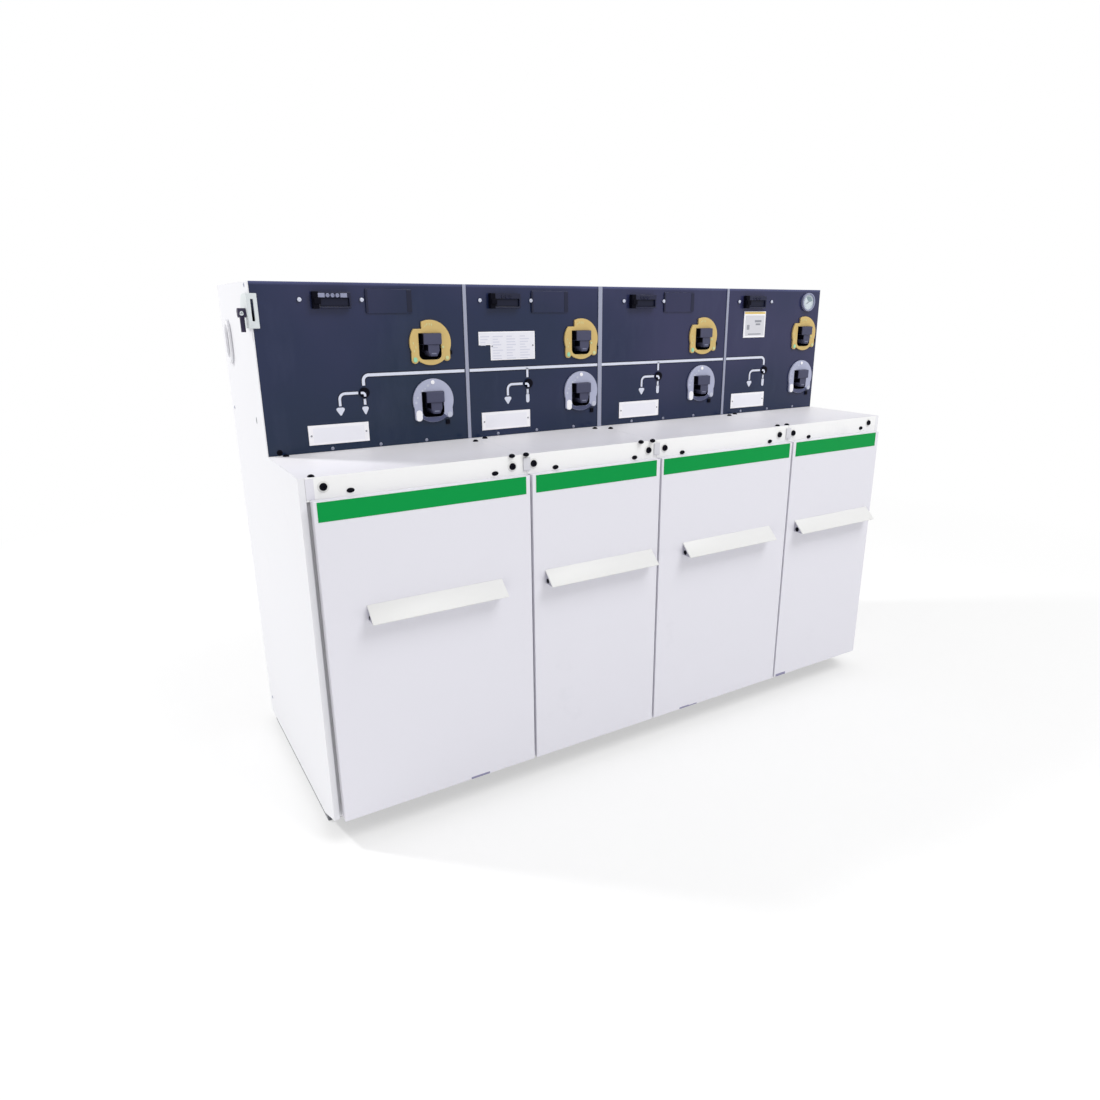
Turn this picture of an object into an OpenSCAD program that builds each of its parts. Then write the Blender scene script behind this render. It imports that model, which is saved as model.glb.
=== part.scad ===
// Four-function gas-insulated ring main unit: a low cabinet with four cable boxes in front,
// and the switchgear housing with its control fascia set back above them.
// Millimetres. +X runs to the right along the front, -Y is the front, +Z is up from the floor.
// The origin is at the floor, under the middle of the footprint.

/* [Cabinet] */
// Width of the first bay, at the left end
bay_1_w = 474; // [440:1:520]
// Width of the second bay
bay_2_w = 350; // [345:1:420]
// Width of the third bay
bay_3_w = 440; // [400:1:480]
// Width of the fourth bay
bay_4_w = 367; // [350:1:420]
// Depth from the face of the covers to the rear panel
cabinet_d = 646; // [600:1:720]
// Thickness of the cabinet's sheet metal
sheet_t = 2; // [1.5:0.5:3]
// Gap between the side and rear panels and the floor
panel_lift = 28; // [15:1:40]
// Height of the slope at the bottom front corner of the side panels
corner_h = 32; // [20:1:40]
// Length of that slope along the floor
corner_d = 85; // [60:1:100]

/* [Cable boxes] */
// Height of the shelf that closes the cable boxes
shelf_h = 792; // [760:1:820]
// Height of the housing above the shelf
fascia_h = 348; // [330:1:420]
// Distance from the face of the covers back to the fascia
shelf_d = 276; // [240:1:300]
// Height of the plain strip above the covers
strip_h = 42; // [36:1:60]
// How far the strip reaches down behind the covers
strip_lap = 3; // [2:1:10]
// Width of the flange at the front of each side panel
flange_w = 12; // [8:1:13]
// Width of the stop behind each end cover's edge
stop_w = 30; // [24:1:40]
// How far that stop lies behind the flange
stop_set = 8; // [5:1:15]
// Width of the post at the front of each partition
post_w = 30; // [24:1:40]

/* [Covers] */
// Depth of a cover's folded tray
cover_d = 20; // [15:1:30]
// Gap between neighbouring covers
cover_gap = 6; // [5:0.5:10]
// Distance from the end of the cabinet to the first cover
cover_inset = 18; // [16:1:24]
// Height of the covers' bottom edge above the floor
cover_z = 63; // [60:1:80]

/* [Grips] */
// Width of a cover's grip
grip_w = 297; // [200:1:310]
// How far the grip stands out from the cover
grip_out = 33; // [25:1:45]
// Height of the grip's sloping plate
grip_drop = 31; // [25:1:45]
// Height of the top of the grip above the floor
grip_z = 532; // [480:1:600]
// Thickness of the grip's plate
grip_t = 3; // [2:0.5:4]
// Distance of the grip's middle to the right of the cover's middle
grip_shift = 5; // [0:1:10]

/* [Base] */
// Height of the base frame
base_h = 58; // [50:1:59]
// Width of the base frame's bars
bar_w = 40; // [30:1:50]
// Distance of the base frame back from the face of the covers
base_set = 110; // [100:1:140]
// Distance of the base frame in from the side panels
base_side = 6; // [4:1:20]

/* [Switchgear] */
// Depth of the mechanism space between the fascia and the tank
mechanism_d = 60; // [50:1:80]
// Free space between the tank and the panels around it
tank_gap = 6; // [4:1:15]

/* [Fascia] */
// Width of the strip that covers the joint of two fascia panels
seam_w = 12; // [8:1:18]
// Height of the line switch's centre above the shelf
line_up = 95; // [80:1:110]
// Distance from the line switch up to the earthing switch
switch_pitch = 128; // [120:1:140]
// Radius of the ring around each lever socket
ring_r = 49; // [47:1:52]
// Thickness of the rings
ring_t = 5; // [3:0.5:8]
// Width of the opening in each ring
mouth_w = 53; // [50:1:56]
// How far a shutter stands out from the fascia
shutter_out = 16; // [10:1:25]
// Depth of the lever sockets behind the fascia
socket_d = 24; // [18:1:35]
// Width of the voltage indicators
indicator_w = 78; // [60:1:80]
// How far the voltage indicators stand out
indicator_out = 12; // [8:1:20]
// Radius of the pressure gauge
gauge_r = 26; // [22:1:28]
// How far the pressure gauge stands out
gauge_out = 8; // [6:1:20]

/* [Lifting lugs] */
// Thickness of the lugs' plate
lug_t = 6; // [4:0.5:8]
// Height of the front lugs
lug_h = 67; // [60:1:80]
// Height of the rear loops
loop_h = 98; // [80:1:110]

/* [Hidden] */
$fn = 64;

seat = 0.3;                                   // clearance of a piece that rests on another
cut = 1;                                      // how far a cutter reaches past what it cuts
cabinet_h = shelf_h + fascia_h;
bay_w = [bay_1_w, bay_2_w, bay_3_w, bay_4_w];
cabinet_w = bay_1_w + bay_2_w + bay_3_w + bay_4_w;
bays = [0:3];
joints = [1:3];

left_x = -cabinet_w / 2;
right_x = cabinet_w / 2;
cover_y = -(cabinet_d - grip_out) / 2;        // face of the covers
frame_y = cover_y + cover_d;                  // face of the strip, the posts and the flanges
fascia_y = cover_y + shelf_d;                 // face of the fascia
rear_y = cover_y + cabinet_d;                 // back of the rear panel
tank_y = fascia_y + sheet_t + mechanism_d;    // front of the tank
strip_z = shelf_h - strip_h;                  // bottom of the visible strip
cover_top = strip_z;                          // top edge of the covers
fascia_z = shelf_h + seat;
line_z = shelf_h + line_up;
earth_z = line_z + switch_pitch;

// left edge of bay i, for i = 0 to 4
function bay_x(i) = left_x + (i > 0 ? bay_w[0] : 0) + (i > 1 ? bay_w[1] : 0)
    + (i > 2 ? bay_w[2] : 0) + (i > 3 ? bay_w[3] : 0);

// joint of the fascia panels, which lies a little off the joint of the bays
seam_shift = [0, -14, 6.5, -5, 0];
function seam_x(i) = bay_x(i) + seam_shift[i];
seam_trim = [0, 3.5, 0, 4];                   // how much narrower each joint's strip is
function seam_width(i) = seam_w - seam_trim[i];

// the fascia panel of bay i ends at the middle of the next joint, and the last one covers the
// front edge of the right side panel
function fascia_end(i) = i == 3 ? right_x : seam_x(i + 1) - seat;

// centre of bay i's switches, worked out from the free space to the right of their rings
ring_margin = [33, 3, 31, 11];
function switch_x(i) = fascia_end(i) - (i < 3 ? seam_w / 2 - seat : 0) - ring_margin[i] - ring_r;

function cover_left(i) = i == 0 ? left_x + cover_inset : bay_x(i) + cover_gap / 2;
function cover_right(i) = i == 3 ? right_x - cover_inset : bay_x(i + 1) - cover_gap / 2;

// lever sockets, relative to a switch's centre
mouth_side = 28;                              // mouth's left edge from the centre
mouth_up = 20.5;                              // mouth's top edge above the centre
mouth_low = 37;                               // mouth's bottom edge below the centre
mouth_round = 12;                             // radius of the mouth's lower corners
socket_wall = 3;
shutter_x = 8 - mouth_side;                   // left edge of the shutter's wide block
shutter_w = mouth_w - 10;
shutter_drop = 24;                            // height of the wide block
tongue_x = -10;                               // left edge of the tongue under it
tongue_w = 28;
tongue_drop = 50;                             // top of the block down to the tongue's end
tongue_taper = 6;                             // how far each side draws in at the tongue's end
tongue_straight = 14;                         // the tongue's height above the tapered end
tongue_back = 3;                              // how far the tongue lies behind the block
foot_r = 8;
foot_x = ring_r - foot_r - 3;                 // the feet lie just inside the ring's edge
left_foot_z = 37;
right_foot_z = 33;
earth_foot = 14;                              // length of the earthing ring's left foot
line_foot = 22;                               // length of the line switch ring's left foot
right_foot = 12;
notch_edge = 4;                               // the notch starts this far inside the ring's left
notch_x = 20;                                 // and ends this far left of the centre
notch_h = 30;

// places on a fascia, relative to its switches' centre line where no joint is named
indicator_x = -251;
indicator_z = cabinet_h - 52;
indicator_h = 33;
indicator_rim = 4;                            // wall round the indicator's recess
hood_h = 12;
plate_x = -139;
plate_w = 101;
plate_z = cabinet_h - 62;
plate_h = 50;
plate_t = 3;
mark_x = [-157.5, -151, -151, -154];
mark_z = line_z + 26;
mark_r = 11;
mark_t = 4;
label_gap = [87, 33.5, 63.5, 33];             // from the joint at the bay's left to its label
label_w = 131;
label_z = shelf_h + 16;
label_h = 42;
label_t = 1.5;
rating_gap = 32;                              // from the joint at its left
rating_w = 148.5;
rating_z = earth_z - 44;
rating_h = 65;
rating_notch = [30, 35];                      // width and height
notice_x = -246.5;
notice_w = 84;
notice_h = 72;
notice_z = indicator_z - 9 - notice_h;
gauge_x = 7;
gauge_z = earth_z + ring_r + 15 + gauge_r;
gauge_rim = 4;

// lifting lugs
lug_z = cabinet_h - 90;
lug_d = 66;                                   // reach along the side panel
lug_front = 14;                               // reach across the fascia
lug_set = 14;                                 // the right lug starts this far behind the fascia
slot_x = 1.5;                                 // slot from the side panel's face
slot_z = 14;                                  // slot above the lug's bottom
slot_w = 5;
slot_h = 42;
pin_r = 9;
pin_out = 15;
pin_d = 16;                                   // pin's centre from the lug's front
pin_up = 30;                                  // pin's centre above the lug's bottom
stem_w = 8;
stem_l = 37;
function lug_y(side) = fascia_y + (side == "right" ? lug_set : 0);
loop_z = cabinet_h - 174;
loop_y = rear_y - 87;                         // middle of the rear loops
loop_w = 62;
loop_bar = 11;

// joint brackets on the strip
bracket_w = 17;
bracket_h = 28;
bracket_t = 2.5;
bracket_z = strip_z + 7;

module block(x, y, z, w, d, h) {
    translate([x, y, z]) cube([w, d, h]);
}

// a flat outline in X and Z, standing on the plane y and reaching t towards the front
module upright(y, t) {
    translate([0, y, 0]) rotate([90, 0, 0]) linear_extrude(t) children();
}

module mirrored_side(side) {
    mirror([side == "right" ? 1 : 0, 0, 0]) children();
}

// ---- base and housing ----

module base_frame() {
    front = cover_y + base_set;
    back = tank_y - seat;
    color("dimgray") union() {
        block(left_x + base_side, front, 0, cabinet_w - 2 * base_side, bar_w, base_h);
        for (i = [0:4]) {
            x = max(left_x + base_side, min(bay_x(i) - bar_w / 2, right_x - base_side - bar_w));
            block(x, front, 0, bar_w, back - front, base_h);
        }
    }
}

module tank_plinth() {
    color("dimgray")
        block(left_x + base_side, tank_y, 0, cabinet_w - 2 * base_side,
            rear_y - sheet_t - tank_gap - tank_y, base_h);
}

module switchgear_tank() {
    gap = sheet_t + tank_gap;
    color("lightgray")
        block(left_x + gap, tank_y, base_h + seat, cabinet_w - 2 * gap,
            rear_y - gap - tank_y, cabinet_h - gap - base_h - seat);
}

// front is where the panel's edge beside the fascia lies
module side_panel(front) {
    corner_z = panel_lift + corner_h;
    skin = [
        [frame_y, corner_z], [frame_y + corner_d, panel_lift], [rear_y, panel_lift],
        [rear_y, cabinet_h], [front, cabinet_h], [front, shelf_h], [frame_y, shelf_h]
    ];
    color("whitesmoke") union() {
        translate([left_x, 0, 0]) rotate([90, 0, 90]) linear_extrude(sheet_t) polygon(skin);
        block(left_x, frame_y, corner_z, flange_w, sheet_t, shelf_h - corner_z);
        block(left_x, frame_y + stop_set, corner_z, stop_w, sheet_t,
            strip_z - strip_lap - seat - corner_z);
        block(left_x + sheet_t, tank_y, base_h, tank_gap - seat, bar_w, shelf_h - base_h);
    }
}

module left_side_panel() {
    side_panel(fascia_y);
}

module right_side_panel() {
    mirror([1, 0, 0]) side_panel(fascia_y + sheet_t + seat);
}

module rear_panel() {
    inside = sheet_t + seat;
    color("whitesmoke")
        block(left_x + inside, rear_y - sheet_t, panel_lift, cabinet_w - 2 * inside, sheet_t,
            cabinet_h - sheet_t - seat - panel_lift);
}

module roof_panel() {
    inside = sheet_t + seat;
    front = fascia_y + inside;
    color("whitesmoke")
        block(left_x + inside, front, cabinet_h - sheet_t, cabinet_w - 2 * inside, rear_y - front,
            sheet_t);
}

module bay_partitions() {
    top = shelf_h - sheet_t - seat;
    color("gainsboro") for (i = joints) {
        union() {
            block(bay_x(i) - sheet_t / 2, frame_y + sheet_t, base_h + seat, sheet_t,
                tank_y - seat - frame_y - sheet_t, top - base_h - seat);
            block(bay_x(i) - post_w / 2, frame_y, base_h + seat, post_w, sheet_t,
                strip_z - strip_lap - seat - base_h - seat);
        }
    }
}

// ---- cable boxes ----

// the shelf fits between the side panels' skins, and the strip in front between their flanges
module cable_box_top(i) {
    back = frame_y + sheet_t;
    shelf_x = bay_x(i) + (i == 0 ? sheet_t + seat : seat / 2);
    shelf_end = bay_x(i + 1) - (i == 3 ? sheet_t + seat : seat / 2);
    strip_x = bay_x(i) + (i == 0 ? flange_w + seat : seat / 2);
    strip_end = bay_x(i + 1) - (i == 3 ? flange_w + seat : seat / 2);
    color("white") union() {
        block(shelf_x, back + seat, shelf_h - sheet_t, shelf_end - shelf_x,
            tank_y - seat - back - seat, sheet_t);
        block(strip_x, frame_y, shelf_h - sheet_t, strip_end - strip_x, 2 * sheet_t, sheet_t);
        block(strip_x, frame_y, strip_z - strip_lap, strip_end - strip_x, sheet_t,
            strip_h + strip_lap);
    }
}

module cable_cover(i) {
    x = cover_left(i);
    w = cover_right(i) - x;
    h = cover_top - cover_z;
    color("whitesmoke") difference() {
        block(x, cover_y, cover_z, w, cover_d - seat, h);
        block(x + sheet_t, cover_y + sheet_t, cover_z + sheet_t, w - 2 * sheet_t, cover_d,
            h - 2 * sheet_t);
    }
}

// a plate with open ends that slopes out and down to a free edge
module cover_grip(i) {
    middle = (cover_left(i) + cover_right(i)) / 2 + grip_shift;
    slope = norm([grip_out, grip_drop]);
    tip = [-grip_out, -grip_drop];
    // direction square to the plate, towards the cover
    under = [grip_drop, -grip_out] / slope;
    profile = [[0, 0], tip, tip + grip_t * under, [0, -grip_t * slope / grip_out]];
    color("white") translate([middle - grip_w / 2, cover_y, grip_z])
        rotate([90, 0, 90]) linear_extrude(grip_w) polygon(profile);
}

// ---- fascia ----

module fascia(i) {
    x = i == 0 ? left_x + sheet_t + seat : seam_x(i) + seat;
    color([0.18, 0.22, 0.32]) difference() {
        block(x, fascia_y, fascia_z, fascia_end(i) - x, sheet_t, cabinet_h - fascia_z);
        for (z = [earth_z, line_z])
            translate([switch_x(i), fascia_y + sheet_t + cut, z])
                upright(0, sheet_t + 2 * cut) mouth();
    }
}

module fascia_seams() {
    color("silver") for (i = joints)
        block(seam_x(i) - seam_width(i) / 2, fascia_y - sheet_t - seat, fascia_z, seam_width(i),
            sheet_t, cabinet_h - fascia_z);
}

module mouth() {
    low = mouth_round - mouth_low;
    union() {
        translate([-mouth_side, low]) square([mouth_w, mouth_up - low]);
        translate([mouth_round - mouth_side, -mouth_low])
            square([mouth_w - 2 * mouth_round, mouth_round + cut]);
        for (x = [mouth_round - mouth_side, mouth_w - mouth_side - mouth_round])
            translate([x, low]) circle(mouth_round);
    }
}

// an upright bar with round ends; z is the centre of its lower end
module round_bar(x, z, r, length) {
    translate([x, z]) union() {
        circle(r);
        translate([0, length]) circle(r);
        translate([-r, 0]) square([2 * r, length]);
    }
}

module ring_outline(left_foot, notched) {
    difference() {
        union() {
            circle(ring_r);
            round_bar(-foot_x, -left_foot_z, foot_r, left_foot);
            round_bar(foot_x, -right_foot_z, foot_r, right_foot);
        }
        mouth();
        if (notched)
            translate([notch_edge - ring_r, notch_h]) square([ring_r - notch_edge - notch_x, ring_r]);
    }
}

module earthing_ring(i) {
    color("khaki") translate([switch_x(i), 0, earth_z])
        upright(fascia_y - seat, ring_t) ring_outline(earth_foot, true);
}

module line_switch_ring(i) {
    color([0.68, 0.69, 0.8]) translate([switch_x(i), 0, line_z])
        upright(fascia_y - seat, ring_t) ring_outline(line_foot, false);
}

module each_switch() {
    for (i = bays)
        for (z = [earth_z, line_z])
            translate([switch_x(i), 0, z]) children();
}

module lever_sockets() {
    back = fascia_y + sheet_t + seat;
    color([0.05, 0.05, 0.07]) each_switch() difference() {
        block(-mouth_side - socket_wall, back, -mouth_low - socket_wall,
            mouth_w + 2 * socket_wall, socket_d + socket_wall, mouth_low + mouth_up + 2 * socket_wall);
        block(-mouth_side, back - cut, -mouth_low, mouth_w, socket_d + cut, mouth_low + mouth_up);
    }
}

module tongue_outline() {
    right = tongue_x + tongue_w;
    shoulder = -shutter_drop - tongue_straight;
    polygon([[tongue_x, -seat], [right, -seat], [right, shoulder],
        [right - tongue_taper, -tongue_drop], [tongue_x + tongue_taper, -tongue_drop],
        [tongue_x, shoulder]]);
}

module socket_shutters() {
    back = fascia_y + sheet_t + socket_d;
    front = fascia_y - shutter_out;
    top = mouth_up - seat;
    color([0.29, 0.29, 0.37]) each_switch() union() {
        block(shutter_x, front, top - shutter_drop, shutter_w, back - front, shutter_drop);
        translate([0, back, top]) upright(0, back - front - tongue_back) tongue_outline();
    }
}

module voltage_indicator(i) {
    x = switch_x(i) + indicator_x;
    front = fascia_y - indicator_out;
    color([0.08, 0.08, 0.1]) difference() {
        block(x, front, indicator_z, indicator_w, indicator_out - seat, indicator_h);
        block(x + indicator_rim, front - cut, indicator_z + indicator_rim,
            indicator_w - 2 * indicator_rim, indicator_out / 2 + cut,
            indicator_h - hood_h - indicator_rim);
    }
}

module function_plates() {
    color([0.12, 0.12, 0.15]) for (i = [0:2])
        block(switch_x(i) + plate_x, fascia_y - plate_t, plate_z, plate_w, plate_t - seat, plate_h);
}

module position_indicators() {
    color("black") for (i = bays)
        translate([switch_x(i) + mark_x[i], 0, mark_z]) upright(fascia_y - seat, mark_t) circle(mark_r);
}

module plate(x, z, w, h) {
    block(x, fascia_y - label_t - seat, z, w, label_t, h);
}

module label_plates() {
    rating_left = seam_x(1) + rating_gap;
    color("white") {
        for (i = bays)
            plate(seam_x(i) + label_gap[i], label_z, label_w, label_h);
        plate(switch_x(3) + notice_x, notice_z, notice_w, notice_h);
        difference() {
            plate(rating_left, rating_z, rating_w, rating_h);
            block(rating_left - cut, fascia_y - label_t - seat - cut, rating_z - cut,
                rating_notch[0] + cut, label_t + 2 * cut, rating_notch[1] + cut);
        }
    }
}

module pressure_gauge() {
    color("silver") translate([switch_x(3) + gauge_x, 0, gauge_z]) difference() {
        upright(fascia_y - seat, gauge_out) circle(gauge_r);
        upright(fascia_y - seat - gauge_out + gauge_rim, gauge_out) circle(gauge_r - gauge_rim);
    }
}

// ---- lugs and brackets ----

// the left lug wraps round onto the fascia, where its plate has an upright slot
module front_lug(side) {
    front = fascia_y - lug_t - seat;
    color("white") mirrored_side(side) union() {
        translate([left_x - lug_t, 0, 0]) rotate([90, 0, 90]) linear_extrude(lug_t - seat)
            front_lug_cheek(side == "left" ? front : lug_y(side), lug_y(side) + lug_d - lug_h / 2);
        if (side == "left") difference() {
            block(left_x - lug_t, front, lug_z, lug_t + lug_front, lug_t, lug_h);
            block(left_x + slot_x, front - cut, lug_z + slot_z, slot_w, lug_t + 2 * cut, slot_h);
        }
    }
}

module front_lug_cheek(start, middle) {
    union() {
        translate([start, lug_z]) square([middle - start, lug_h]);
        translate([middle, lug_z + lug_h / 2]) circle(lug_h / 2);
    }
}

module rear_loop(side) {
    half = loop_w / 2;
    color("white") mirrored_side(side) translate([left_x - lug_t - seat, 0, 0]) rotate([90, 0, 90])
        linear_extrude(lug_t) difference() {
            round_bar(loop_y, loop_z + half, half, loop_h - loop_w);
            round_bar(loop_y, loop_z + half, half - loop_bar, loop_h - loop_w);
        }
}

module lug_pins() {
    color([0.15, 0.15, 0.18]) for (side = ["left", "right"]) mirrored_side(side)
        translate([left_x - lug_t - seat, lug_y(side) + pin_d, lug_z + pin_up]) union() {
            rotate([0, -90, 0]) cylinder(h = pin_out, r = pin_r);
            block(-(pin_out + stem_w) / 2, -stem_w / 2, -stem_l, stem_w, stem_w, stem_l);
        }
}

module joint_brackets() {
    color("gray") for (i = joints)
        block(bay_x(i) - bracket_w / 2, frame_y - bracket_t - seat, bracket_z, bracket_w, bracket_t,
            bracket_h);
}

base_frame();
tank_plinth();
switchgear_tank();
left_side_panel();
right_side_panel();
rear_panel();
roof_panel();
bay_partitions();
cable_box_top(0);  // cable_box_top_1
cable_box_top(1);  // cable_box_top_2
cable_box_top(2);  // cable_box_top_3
cable_box_top(3);  // cable_box_top_4
cable_cover(0);  // cable_cover_1
cable_cover(1);  // cable_cover_2
cable_cover(2);  // cable_cover_3
cable_cover(3);  // cable_cover_4
cover_grip(0);  // cover_grip_1
cover_grip(1);  // cover_grip_2
cover_grip(2);  // cover_grip_3
cover_grip(3);  // cover_grip_4
fascia(0);  // fascia_1
fascia(1);  // fascia_2
fascia(2);  // fascia_3
fascia(3);  // fascia_4
fascia_seams();
earthing_ring(0);  // earthing_ring_1
earthing_ring(1);  // earthing_ring_2
earthing_ring(2);  // earthing_ring_3
earthing_ring(3);  // earthing_ring_4
line_switch_ring(0);  // line_switch_ring_1
line_switch_ring(1);  // line_switch_ring_2
line_switch_ring(2);  // line_switch_ring_3
line_switch_ring(3);  // line_switch_ring_4
lever_sockets();
socket_shutters();
voltage_indicator(0);  // voltage_indicator_1
voltage_indicator(1);  // voltage_indicator_2
voltage_indicator(2);  // voltage_indicator_3
voltage_indicator(3);  // voltage_indicator_4
function_plates();
position_indicators();
label_plates();
pressure_gauge();
front_lug("left");  // front_lug_left
front_lug("right");  // front_lug_right
rear_loop("left");  // rear_loop_left
rear_loop("right");  // rear_loop_right
lug_pins();
joint_brackets();
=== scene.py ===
import math

import bmesh
import bpy
from mathutils import Matrix, Vector


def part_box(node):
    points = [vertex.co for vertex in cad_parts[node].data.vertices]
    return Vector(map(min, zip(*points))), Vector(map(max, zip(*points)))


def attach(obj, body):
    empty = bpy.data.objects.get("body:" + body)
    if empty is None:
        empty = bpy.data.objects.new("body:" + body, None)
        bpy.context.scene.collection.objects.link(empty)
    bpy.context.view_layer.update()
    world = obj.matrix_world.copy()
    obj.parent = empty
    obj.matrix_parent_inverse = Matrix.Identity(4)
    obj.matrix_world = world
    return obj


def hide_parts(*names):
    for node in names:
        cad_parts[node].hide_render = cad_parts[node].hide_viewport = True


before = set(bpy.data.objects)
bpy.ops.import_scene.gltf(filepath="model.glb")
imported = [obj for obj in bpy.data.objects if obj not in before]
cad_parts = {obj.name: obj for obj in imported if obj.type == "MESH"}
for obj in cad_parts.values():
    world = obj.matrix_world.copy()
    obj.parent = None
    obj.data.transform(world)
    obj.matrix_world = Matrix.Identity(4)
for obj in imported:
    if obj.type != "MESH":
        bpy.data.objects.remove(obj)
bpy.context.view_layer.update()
bays = (1, 2, 3, 4)
cabinet = "cabinet"
fasciaGap = 0.0004  # pieces on the fascia stop this far before it

# places that the rest is measured from
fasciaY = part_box("fascia_1")[0].y
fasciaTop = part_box("fascia_1")[1].z
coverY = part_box("cable_cover_1")[0].y
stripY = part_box("cable_box_top_1")[0].y
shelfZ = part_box("cable_box_top_1")[1].z
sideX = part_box("left_side_panel")[0].x
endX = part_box("right_side_panel")[1].x
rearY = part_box("rear_panel")[1].y
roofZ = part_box("roof_panel")[1].z
ringRadius = (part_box("earthing_ring_1")[1].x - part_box("earthing_ring_1")[0].x) / 2


def switchCentre(kind, bay):
    low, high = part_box(f"{kind}_ring_{bay}")
    return (low.x + high.x) / 2, high.z - ringRadius


centreLine = {bay: switchCentre("line_switch", bay)[0] for bay in bays}


def bayEdge(joint):
    # the ends of the bays, from 0 at the left side to 4 at the right side
    if joint in (0, 4):
        return sideX if joint == 0 else endX
    return (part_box(f"cable_cover_{joint}")[1].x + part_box(f"cable_cover_{joint + 1}")[0].x) / 2


class Wire:
    # one output of a node; sums and products of wires add their own Math nodes
    def __init__(self, tree, socket):
        self.tree = tree
        self.socket = socket

    def __getitem__(self, key):
        return Wire(self.tree, self.socket.node.outputs[key])

    def math(self, operation, first, second):
        return self.tree.node("ShaderNodeMath", {0: first, 1: second}, operation=operation)

    def __add__(self, other):
        return self.math("ADD", self, other)

    def __sub__(self, other):
        return self.math("SUBTRACT", self, other)

    def __rsub__(self, other):
        return self.math("SUBTRACT", other, self)

    def __mul__(self, other):
        return self.math("MULTIPLY", self, other)

    __radd__ = __add__
    __rmul__ = __mul__

    def above(self, limit):
        return self.math("GREATER_THAN", self, limit)


class Tree:
    def __init__(self, nodeTree):
        self.tree = nodeTree

    def node(self, kind, values=None, **settings):
        made = self.tree.nodes.new(kind)
        for name, value in settings.items():
            if name == "stops":
                self.setStops(made.color_ramp, value)
            else:
                setattr(made, name, value)
        for key, value in (values or {}).items():
            if isinstance(value, (Wire, list)):
                for wire in value if isinstance(value, list) else [value]:
                    self.tree.links.new(wire.socket, made.inputs[key])
            else:
                made.inputs[key].default_value = value
        outputs = [out for out in made.outputs if out.enabled]
        return Wire(self, outputs[0]) if outputs else made

    def setStops(self, ramp, stops):
        while len(ramp.elements) < len(stops):
            ramp.elements.new(1)
        for element, (place, colour) in zip(ramp.elements, stops):
            element.position = place
            element.color = colour


def paint(red, green, blue):
    # a colour as it looks on a screen, from 0 to 255, made linear
    def linear(value):
        value = value / 255
        return value / 12.92 if value <= 0.04045 else ((value + 0.055) / 1.055) ** 2.4
    return linear(red), linear(green), linear(blue), 1


def shade(colour, factor):
    return tuple(min(1, part * factor) for part in colour[:3]) + (1,)


def newFinish(name):
    finish = bpy.data.materials.new(name)
    finish.use_nodes = True
    finish.node_tree.nodes.clear()
    return finish, Tree(finish.node_tree)


def surface(tree, colour, roughness, normal, metallic=0.0, specular=0.5):
    shader = tree.node("ShaderNodeBsdfPrincipled", {
        "Base Color": colour, "Roughness": roughness, "Metallic": metallic,
        "Specular IOR Level": specular, "Normal": normal})
    tree.node("ShaderNodeOutputMaterial", {"Surface": shader})


def objectPlace(tree):
    return tree.node("ShaderNodeTexCoord")["Object"]


def noise(tree, scale, detail=3.0, vector=None, rough=0.5):
    return tree.node("ShaderNodeTexNoise", {"Vector": vector or objectPlace(tree), "Scale": scale,
                                            "Detail": detail, "Roughness": rough})


def blendColours(tree, share, first, second, way="MIX"):
    return tree.node("ShaderNodeMix", {"Factor": share, 6: first, 7: second},
                     data_type="RGBA", blend_type=way)["Result"]


def driftingColour(tree, share, colour, darker, lighter):
    return blendColours(tree, share, shade(colour, darker), shade(colour, lighter))


def bumpOf(tree, height, strength, distance=0.0003):
    return tree.node("ShaderNodeBump", {"Height": height, "Strength": strength, "Distance": distance})


def mapRange(tree, value, fromLow, fromHigh, toLow, toHigh):
    return tree.node("ShaderNodeMapRange", {"Value": value, "From Min": fromLow, "From Max": fromHigh,
                                            "To Min": toLow, "To Max": toHigh})


def stretched(tree, scale):
    return tree.node("ShaderNodeMapping", {"Vector": objectPlace(tree), "Scale": scale})


def axesOf(tree):
    return tree.node("ShaderNodeSeparateXYZ", {"Vector": objectPlace(tree)})


def sheetPaint(name, colour, **changes):
    # powder coat: slow drift of the shade, faint handling marks, fine orange peel
    look = {**paintLook, **changes}
    finish, tree = newFinish(name)
    drift = noise(tree, look["driftScale"])
    marks = (noise(tree, look["markScale"], 6.0, rough=0.7) - look["markFrom"]) * look["markDepth"]
    marks = marks * marks.above(0)
    colour = driftingColour(tree, drift, paint(*colour), 1 - look["drift"], 1 + look["drift"])
    colour = blendColours(tree, marks, colour, look["markColour"])
    # painted shade and light by depth: a colour ramp from the strip's front edge back to the fascia
    if "depthStops" in look:
        share = mapRange(tree, axesOf(tree)["Y"], stripY, fasciaY, 0.0, 1.0)
        paintedShade = tree.node("ShaderNodeValToRGB", {"Fac": share}, stops=look["depthStops"])
        colour = blendColours(tree, 1.0, colour, paintedShade, "MULTIPLY")
    peel = noise(tree, look["peelScale"], 2.0)
    surface(tree, colour, look["roughness"] + (drift - 0.5) * look["roughSwing"],
            bumpOf(tree, peel, look["peel"], 0.0004), specular=look["specular"])
    return finish


plasticLook = {"driftScale": 14.0, "shades": (0.88, 1.1), "pitScale": 1500.0, "roughSwing": 0.1}


def mouldedPlastic(name, colour, grain, roughness, specular=0.4):
    # moulded plastic: spark-eroded grain over a slow drift of the shade
    finish, tree = newFinish(name)
    drift = noise(tree, plasticLook["driftScale"])
    colour = driftingColour(tree, drift, paint(*colour), *plasticLook["shades"])
    pits = noise(tree, plasticLook["pitScale"], 2.0)
    surface(tree, colour, roughness + pits * plasticLook["roughSwing"], bumpOf(tree, pits, grain),
            specular=specular)
    return finish


metalLook = {"scratchScale": 60.0, "shades": (0.85, 1.1), "roughSwing": 0.2, "scratchBump": 0.08}


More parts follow.
